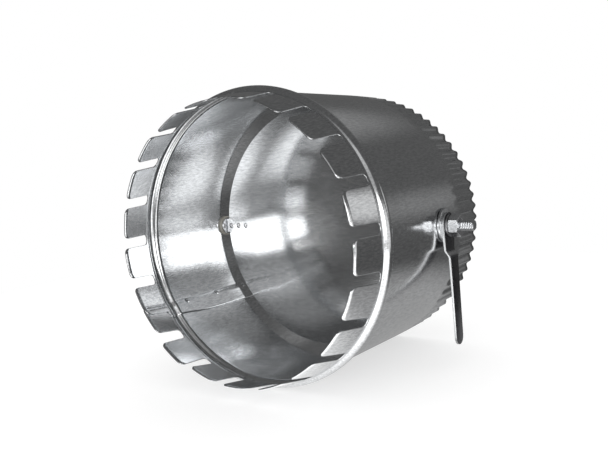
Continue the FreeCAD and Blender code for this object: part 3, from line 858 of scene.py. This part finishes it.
# %% Wind the lock washer
LOCK_GAP_DEG = 12
LOCK_STEPS = 60
LOCK_RISE = 0.2 * MM
LOCK_SLANT = math.tan(math.radians(30))
LOCK_PLAY = 0.15 * MM
LOCK_EDGE = 0.15 * MM

bm = bmesh.new()
section = rounded(lock_low.x, lock_high.x - LOCK_RISE, STUD_RADIUS + LOCK_PLAY, lock_high.z, LOCK_EDGE)
bm.faces.new([bm.verts.new((x, AXLE_Y, radius)) for x, radius in section])
bmesh.ops.spin(bm, geom=bm.verts[:] + bm.edges[:] + bm.faces[:], cent=AXLE_POINT, axis=AXLE_WAY,
               angle=math.radians(360 - LOCK_GAP_DEG), steps=LOCK_STEPS,
               dvec=(LOCK_RISE / LOCK_STEPS, 0, 0))
for vertex in bm.verts:
    slant = (vertex.co.x - lock_low.x) * LOCK_SLANT / lock_high.z
    turn = Matrix.Rotation(math.radians(LOCK_GAP_DEG / 2) + slant, 3, "X")
    vertex.co = AXLE_POINT + turn @ (vertex.co - AXLE_POINT)
finish_piece(mesh_object("split_ring", bm), spring_steel, "damper", "spring_steel", "lock_washer")

# %% [markdown]
# ## The lever
# The lever is a strip with a round head and a round tip, bent outwards by a small joggle. It is drawn
# flat as one face, cut across where it will bend, and each point is then shifted outwards by how far
# down it lies. Extruding it gives the thickness, and a fine bevel takes the sharpness off the sheared
# edge, which the finish paints bright as a painted highlight.

# %% Draw, bend and thicken the lever
LEVER_HEAD = 7.0 * MM
LEVER_NECK_DROP = 19.0 * MM
LEVER_NECK_HALF = 4.9 * MM
LEVER_TIP = 4.5 * MM
LEVER_LENGTH = -lever_low.z
LEVER_THICKNESS = 1.2 * MM
JOGGLE_START = 12.7 * MM
JOGGLE_END = 17.2 * MM
JOGGLE_OUT = 2.2 * MM
JOGGLE_CUTS = 10
LEVER_SPLAY = math.tan(math.radians(1.5))
LEVER_EDGE = 0.18 * MM
LEVER_SHARP = math.radians(40)
HEAD_STEPS = 28
TIP_STEPS = 16


def arc_points(centre_z, radius, start_deg, end_deg, steps):
    # Points (y, z) along an arc in the lever's own plane, with the arc's centre below the axle
    angles = [math.radians(start_deg + (end_deg - start_deg) * step / steps) for step in range(steps + 1)]
    return [(radius * math.cos(angle), centre_z + radius * math.sin(angle)) for angle in angles]


def lever_outline():
    # The head's arc meets the neck where a line from the neck's corner just touches it
    reach = math.hypot(LEVER_NECK_HALF, LEVER_NECK_DROP)
    tangent = math.atan2(-LEVER_NECK_DROP, LEVER_NECK_HALF) + math.acos(LEVER_HEAD / reach)
    tangent_deg = math.degrees(tangent)
    head = arc_points(0, LEVER_HEAD, tangent_deg, 180 - tangent_deg, HEAD_STEPS)
    tip = arc_points(-LEVER_LENGTH + LEVER_TIP, LEVER_TIP, 180, 360, TIP_STEPS)
    return head + [(-LEVER_NECK_HALF, -LEVER_NECK_DROP)] + tip + [(LEVER_NECK_HALF, -LEVER_NECK_DROP)]


def lever_shift(drop):
    # How far out the strip lies at a drop below the axle, with soft bends at both ends of the joggle
    joggle = smooth_step((drop - JOGGLE_START) / (JOGGLE_END - JOGGLE_START)) * JOGGLE_OUT
    return joggle + max(drop - JOGGLE_END, 0) * LEVER_SPLAY


bm = bmesh.new()
bm.faces.new([bm.verts.new((lever_low.x, AXLE_Y + y, z)) for y, z in lever_outline()])
for drop in [JOGGLE_START] + even_places(JOGGLE_START, JOGGLE_END, JOGGLE_CUTS):
    bmesh.ops.bisect_plane(bm, geom=bm.verts[:] + bm.edges[:] + bm.faces[:], plane_co=(0, 0, -drop),
                           plane_no=(0, 0, 1))
for vertex in bm.verts:
    vertex.co.x += lever_shift(-vertex.co.z)
cut_from_sheet(bm, (LEVER_THICKNESS, 0, 0), LEVER_EDGE, 2)
lever = mesh_object("hand_lever", bm, LEVER_SHARP)
finish_piece(lever, lever_steel, "damper", "lever_steel", "damper_lever")

# %% [markdown]
# ## Pieces that keep their CAD shape
# The idle axle, the rivets, the bushings and the thrust washers are small turned pieces whose CAD shape
# is already right. Their loose triangles would shine in facets, so each is a joined and smoothed copy
# that stands for its node.

# %% Smooth copies of the small pieces
def smooth_copy(name, node, material, body, slot):
    # A joined copy of a CAD node, finished like any other piece
    return finish_piece(mesh_object(name, merged_copy(node)), material, body, slot, node)


smooth_copy("idle_pin", "idle_axle", zinc_plate, "damper", "zinc_plated_steel")
smooth_copy("rivets_lever_side", "stud_rivets", rivet_metal, "damper", "rivet_metal")
smooth_copy("rivets_idle_side", "idle_axle_rivets", rivet_metal, "damper", "rivet_metal")
smooth_copy("bushing_lever_side", "handle_bushing", nylon, "collar", "nylon")
smooth_copy("bushing_idle_side", "idle_bushing", nylon, "collar", "nylon")
smooth_copy("spacer_lever_side", "stud_thrust_washer", zinc_plate, "damper", "zinc_plated_steel")
smooth_copy("spacer_idle_side", "idle_thrust_washer", zinc_plate, "damper", "zinc_plated_steel")

# %% [markdown]
# ## Floor
# The collar lies on a white sweep. The floor is tilted by less than two degrees, so that the bead and
# the crimped end both touch it. A white paper sweep looks evenly white to the camera and keeps a soft
# shadow, so the paper is partly lit by the studio and partly glows for the rays that come from the
# camera.

# %% Floor sheet
FLOOR_HALF = 0.42
floor_bm = bmesh.new()
bmesh.ops.create_grid(floor_bm, x_segments=1, y_segments=1, size=FLOOR_HALF)
tilt = math.atan((CRIMP_END_REDUCTION + BEAD_HEIGHT) / TUBE_END_Y)
drop = Matrix.Translation((0, 0, -(TUBE_RADIUS + BEAD_HEIGHT)))
bmesh.ops.transform(floor_bm, matrix=drop @ Matrix.Rotation(tilt, 4, "X"), verts=floor_bm.verts)
floor = mesh_object("studio_floor", floor_bm)
print("floor of", 2 * FLOOR_HALF, "m, tilted by", round(math.degrees(tilt), 2), "degrees")


# %% Node helpers for the studio
def join_values(nodes, links, operation, first, second):
    # A Math node that takes numbers or other sockets
    node = nodes.new("ShaderNodeMath")
    node.operation = operation
    for socket, value in zip(node.inputs, (first, second)):
        if isinstance(value, (int, float)):
            socket.default_value = value
        else:
            links.new(value, socket)
    return node.outputs[0]


def add_up(nodes, links, *values):
    # The sum of several numbers and sockets
    total = values[0]
    for value in values[1:]:
        total = join_values(nodes, links, "ADD", total, value)
    return total


def smooth_range(nodes, links, value, from_low, from_high, to_low, to_high):
    # A range that eases in and out, so that no patch of light has a hard edge
    node = nodes.new("ShaderNodeMapRange")
    node.interpolation_type = "SMOOTHSTEP"
    for name, amount in (("From Min", from_low), ("From Max", from_high), ("To Min", to_low),
                         ("To Max", to_high)):
        node.inputs[name].default_value = amount
    links.new(value, node.inputs["Value"])
    return node.outputs["Result"]


print("studio helpers ready")

# %% [markdown]
# Polished metal mirrors the floor, and in the photo it mirrors it unevenly: bright in front of the mouth
# and towards the window, dim behind. Those places follow from the reflections in the photo. A lamp could
# only make one such spot, and it would light everything else too. So the rays that come from metal find
# a pattern of glare on the paper: two ramps across the floor, three soft patches and a dim rest.

# %% Glare on the floor, as the metal sees it
RAMP_TURN_DEG = -30
# Ramps: place where each begins and ends in metres, and its strength there
SIDE_RAMP = (-0.22, 0.05, 0.0, 0.45)
WINDOW_RAMP = (0.0, 0.13, 0.0, 1.25)
FRONT_RAMP = (-0.06, 0.04, 1.0, 0.0)
# Patches: centre, the distance where each begins to fade and the one where it ends, and its strength
MOUTH_PATCH = ((0.04, -0.03, -0.08), 0.05, 0.11, 1.0)
LEVER_PATCH = ((-0.03, -0.22, -0.08), 0.03, 0.10, 1.6)
NEAR_PATCH = ((0, 0.06, -0.08), 0.10, 0.22, 0.28)
GLARE_DARK = 0.10

floor_finish = bpy.data.materials.new("studio paper")
floor_finish.use_nodes = True
nodes, links = floor_finish.node_tree.nodes, floor_finish.node_tree.links
nodes.clear()
place = nodes.new("ShaderNodeTexCoord")


def along_axis(vector, axis):
    # One coordinate of a place on the floor
    split = nodes.new("ShaderNodeSeparateXYZ")
    links.new(vector, split.inputs[0])
    return split.outputs[axis]


def patch_of_light(centre, near, far, strength):
    # Light that falls off with the distance from a place on the floor
    gap = nodes.new("ShaderNodeVectorMath")
    gap.operation = "DISTANCE"
    links.new(place.outputs["Object"], gap.inputs[0])
    gap.inputs[1].default_value = centre
    return smooth_range(nodes, links, gap.outputs["Value"], near, far, strength, 0.0)


turned = nodes.new("ShaderNodeMapping")
turned.inputs["Rotation"].default_value = (0, 0, math.radians(RAMP_TURN_DEG))
links.new(place.outputs["Object"], turned.inputs["Vector"])
across_floor = along_axis(turned.outputs["Vector"], "X")
glare = add_up(nodes, links, smooth_range(nodes, links, across_floor, *SIDE_RAMP),
               smooth_range(nodes, links, across_floor, *WINDOW_RAMP), patch_of_light(*MOUTH_PATCH),
               patch_of_light(*LEVER_PATCH))
in_front = smooth_range(nodes, links, along_axis(place.outputs["Object"], "Y"), *FRONT_RAMP)
glare = join_values(nodes, links, "MULTIPLY", glare, in_front)
glare = add_up(nodes, links, glare, patch_of_light(*NEAR_PATCH), GLARE_DARK)
print("glare joined from two ramps and three patches")

# %% The paper itself
PAPER_SHADE = 0.55
PAPER_GLOW = 0.56
rays = nodes.new("ShaderNodeLightPath")
paper = nodes.new("ShaderNodeBsdfDiffuse")
paper.inputs["Color"].default_value = (PAPER_SHADE, PAPER_SHADE, PAPER_SHADE, 1)
glow = nodes.new("ShaderNodeEmission")
links.new(join_values(nodes, links, "MULTIPLY", rays.outputs["Is Camera Ray"], PAPER_GLOW),
          glow.inputs["Strength"])
in_view = nodes.new("ShaderNodeAddShader")
links.new(paper.outputs[0], in_view.inputs[0])
links.new(glow.outputs[0], in_view.inputs[1])
in_metal = nodes.new("ShaderNodeEmission")
links.new(glare, in_metal.inputs["Strength"])
which = nodes.new("ShaderNodeMixShader")
links.new(rays.outputs["Is Glossy Ray"], which.inputs["Fac"])
links.new(in_view.outputs[0], which.inputs[1])
links.new(in_metal.outputs[0], which.inputs[2])
surface = nodes.new("ShaderNodeOutputMaterial")
links.new(which.outputs[0], surface.inputs["Surface"])
floor.data.materials.append(floor_finish)
print("paper floor ready")

# %% [markdown]
# ## The studio round it
# Polished metal shows the room, so the room is designed like a photographer's: dark card behind and
# above, a bright window beside the camera and a few soft cards. The window is a real lamp. The rest are
# soft patches of light in the world, each placed by its compass direction and its height, as the
# reflections in the photo tell. The camera and the paper find plain white instead of the room.

# %% World with soft cards
ROOM_SHADE = 0.11
WINDOW_COMPASS = 141
WINDOW_HEIGHT = 4.2
# Compass, height, half width and half height in degrees, strength, and the share that fades
CARDS = [(WINDOW_COMPASS, WINDOW_HEIGHT, 28, 17, 0.6, 0.7),
         (146, 29, 26, 16, 0.34, 0.6),
         (165, 38, 34, 14, 0.22, 0.6),
         (164, 20, 9, 8, 1.3, 0.5),
         (95, -2, 40, 22, 0.75, 0.5),
         (52, 13, 12, 12, 0.65, 0.6),
         (220.5, -6.6, 7, 3.6, 2.4, 0.4),
         (26, 5, 9, 9, 0.15, 0.9),
         (-8, 32, 20, 7, 0.18, 0.8)]
world = bpy.data.worlds.new("dim studio")
bpy.context.scene.world = world
world.use_nodes = True
nodes, links = world.node_tree.nodes, world.node_tree.links
nodes.clear()
where = nodes.new("ShaderNodeTexCoord")


def toward(compass_deg, height_deg):
    # Compass 0 looks along the tube to the back, 90 to the lever's side, 180 to the front
    compass, height = math.radians(compass_deg), math.radians(height_deg)
    return Vector((math.sin(compass) * math.cos(height), math.cos(compass) * math.cos(height),
                   math.sin(height)))


def soft_card(compass_deg, height_deg, half_width_deg, half_height_deg, strength, fading):
    # An oval patch of light on the sky
    mapping = nodes.new("ShaderNodeMapping")
    mapping.vector_type = "TEXTURE"
    mapping.inputs["Location"].default_value = toward(compass_deg, height_deg)
    mapping.inputs["Rotation"].default_value = (math.radians(height_deg), 0, -math.radians(compass_deg))
    mapping.inputs["Scale"].default_value = (math.sin(math.radians(half_width_deg)), 1,
                                             math.sin(math.radians(half_height_deg)))
    oval = nodes.new("ShaderNodeTexGradient")
    oval.gradient_type = "SPHERICAL"
    links.new(where.outputs["Generated"], mapping.inputs["Vector"])
    links.new(mapping.outputs["Vector"], oval.inputs["Vector"])
    return smooth_range(nodes, links, oval.outputs["Fac"], 0.0, fading, 0.0, strength)


def background(strength):
    # White light from all round, with a number or a socket as its strength
    shader = nodes.new("ShaderNodeBackground")
    shader.inputs["Color"].default_value = (1, 1, 1, 1)
    if isinstance(strength, float):
        shader.inputs["Strength"].default_value = strength
    else:
        links.new(strength, shader.inputs["Strength"])
    return shader.outputs[0]


room = background(add_up(nodes, links, ROOM_SHADE, *[soft_card(*card) for card in CARDS]))
white = background(1.0)
rays = nodes.new("ShaderNodeLightPath")
sees_white = join_values(nodes, links, "MAXIMUM", rays.outputs["Is Camera Ray"],
                         rays.outputs["Is Transmission Ray"])
sees_white = join_values(nodes, links, "MAXIMUM", sees_white, rays.outputs["Is Diffuse Ray"])
mix = nodes.new("ShaderNodeMixShader")
links.new(sees_white, mix.inputs["Fac"])
links.new(room, mix.inputs[1])
links.new(white, mix.inputs[2])
sky = nodes.new("ShaderNodeOutputWorld")
links.new(mix.outputs[0], sky.inputs["Surface"])
print("world has", len(CARDS), "soft cards")

# %% Window lamp
WINDOW_DISTANCE = 1.6
WINDOW_HALF_DEG = (19, 9.3)
WINDOW_LIGHT = 2.3
width, height = [2 * WINDOW_DISTANCE * math.tan(math.radians(half)) for half in WINDOW_HALF_DEG]
lamp_data = bpy.data.lights.new("window", "AREA")
lamp_data.shape = "RECTANGLE"
lamp_data.size, lamp_data.size_y = width, height
lamp_data.energy = WINDOW_LIGHT * math.pi * width * height
lamp = bpy.data.objects.new("window", lamp_data)
bpy.context.scene.collection.objects.link(lamp)
way = toward(WINDOW_COMPASS, WINDOW_HEIGHT)
lamp.location = AXLE_POINT + way * WINDOW_DISTANCE
lamp.rotation_euler = (-way).to_track_quat("-Z", "Y").to_euler()
print("window lamp of", round(width, 2), "by", round(height, 2), "m")

# %% [markdown]
# ## Camera
# The camera was fitted to the circles of the bead, the tube and the blade in the photo. Its place and
# two of its directions are enough, because the third is square to both.

# %% Camera
CAMERA_PLACE = Vector((0.2461, -0.3161, 0.0427))
CAMERA_RIGHT = Vector((0.8273, 0.5581, -0.0636))
CAMERA_FORWARD = Vector((-0.5618, 0.8220, -0.0937))
SENSOR_WIDTH = 36
LENS = 45.7
camera_data = bpy.data.cameras.new("camera")
camera_data.sensor_width = SENSOR_WIDTH
camera_data.lens = LENS
camera = bpy.data.objects.new("camera", camera_data)
bpy.context.scene.collection.objects.link(camera)
camera_up = CAMERA_RIGHT.cross(CAMERA_FORWARD)
turn = Matrix((CAMERA_RIGHT, camera_up, -CAMERA_FORWARD)).transposed().to_4x4()
camera.matrix_world = Matrix.Translation(CAMERA_PLACE) @ turn
bpy.context.scene.camera = camera
bpy.context.scene.view_settings.view_transform = "Standard"
print("camera stands", round(CAMERA_PLACE.length, 3), "m from the frame's origin")
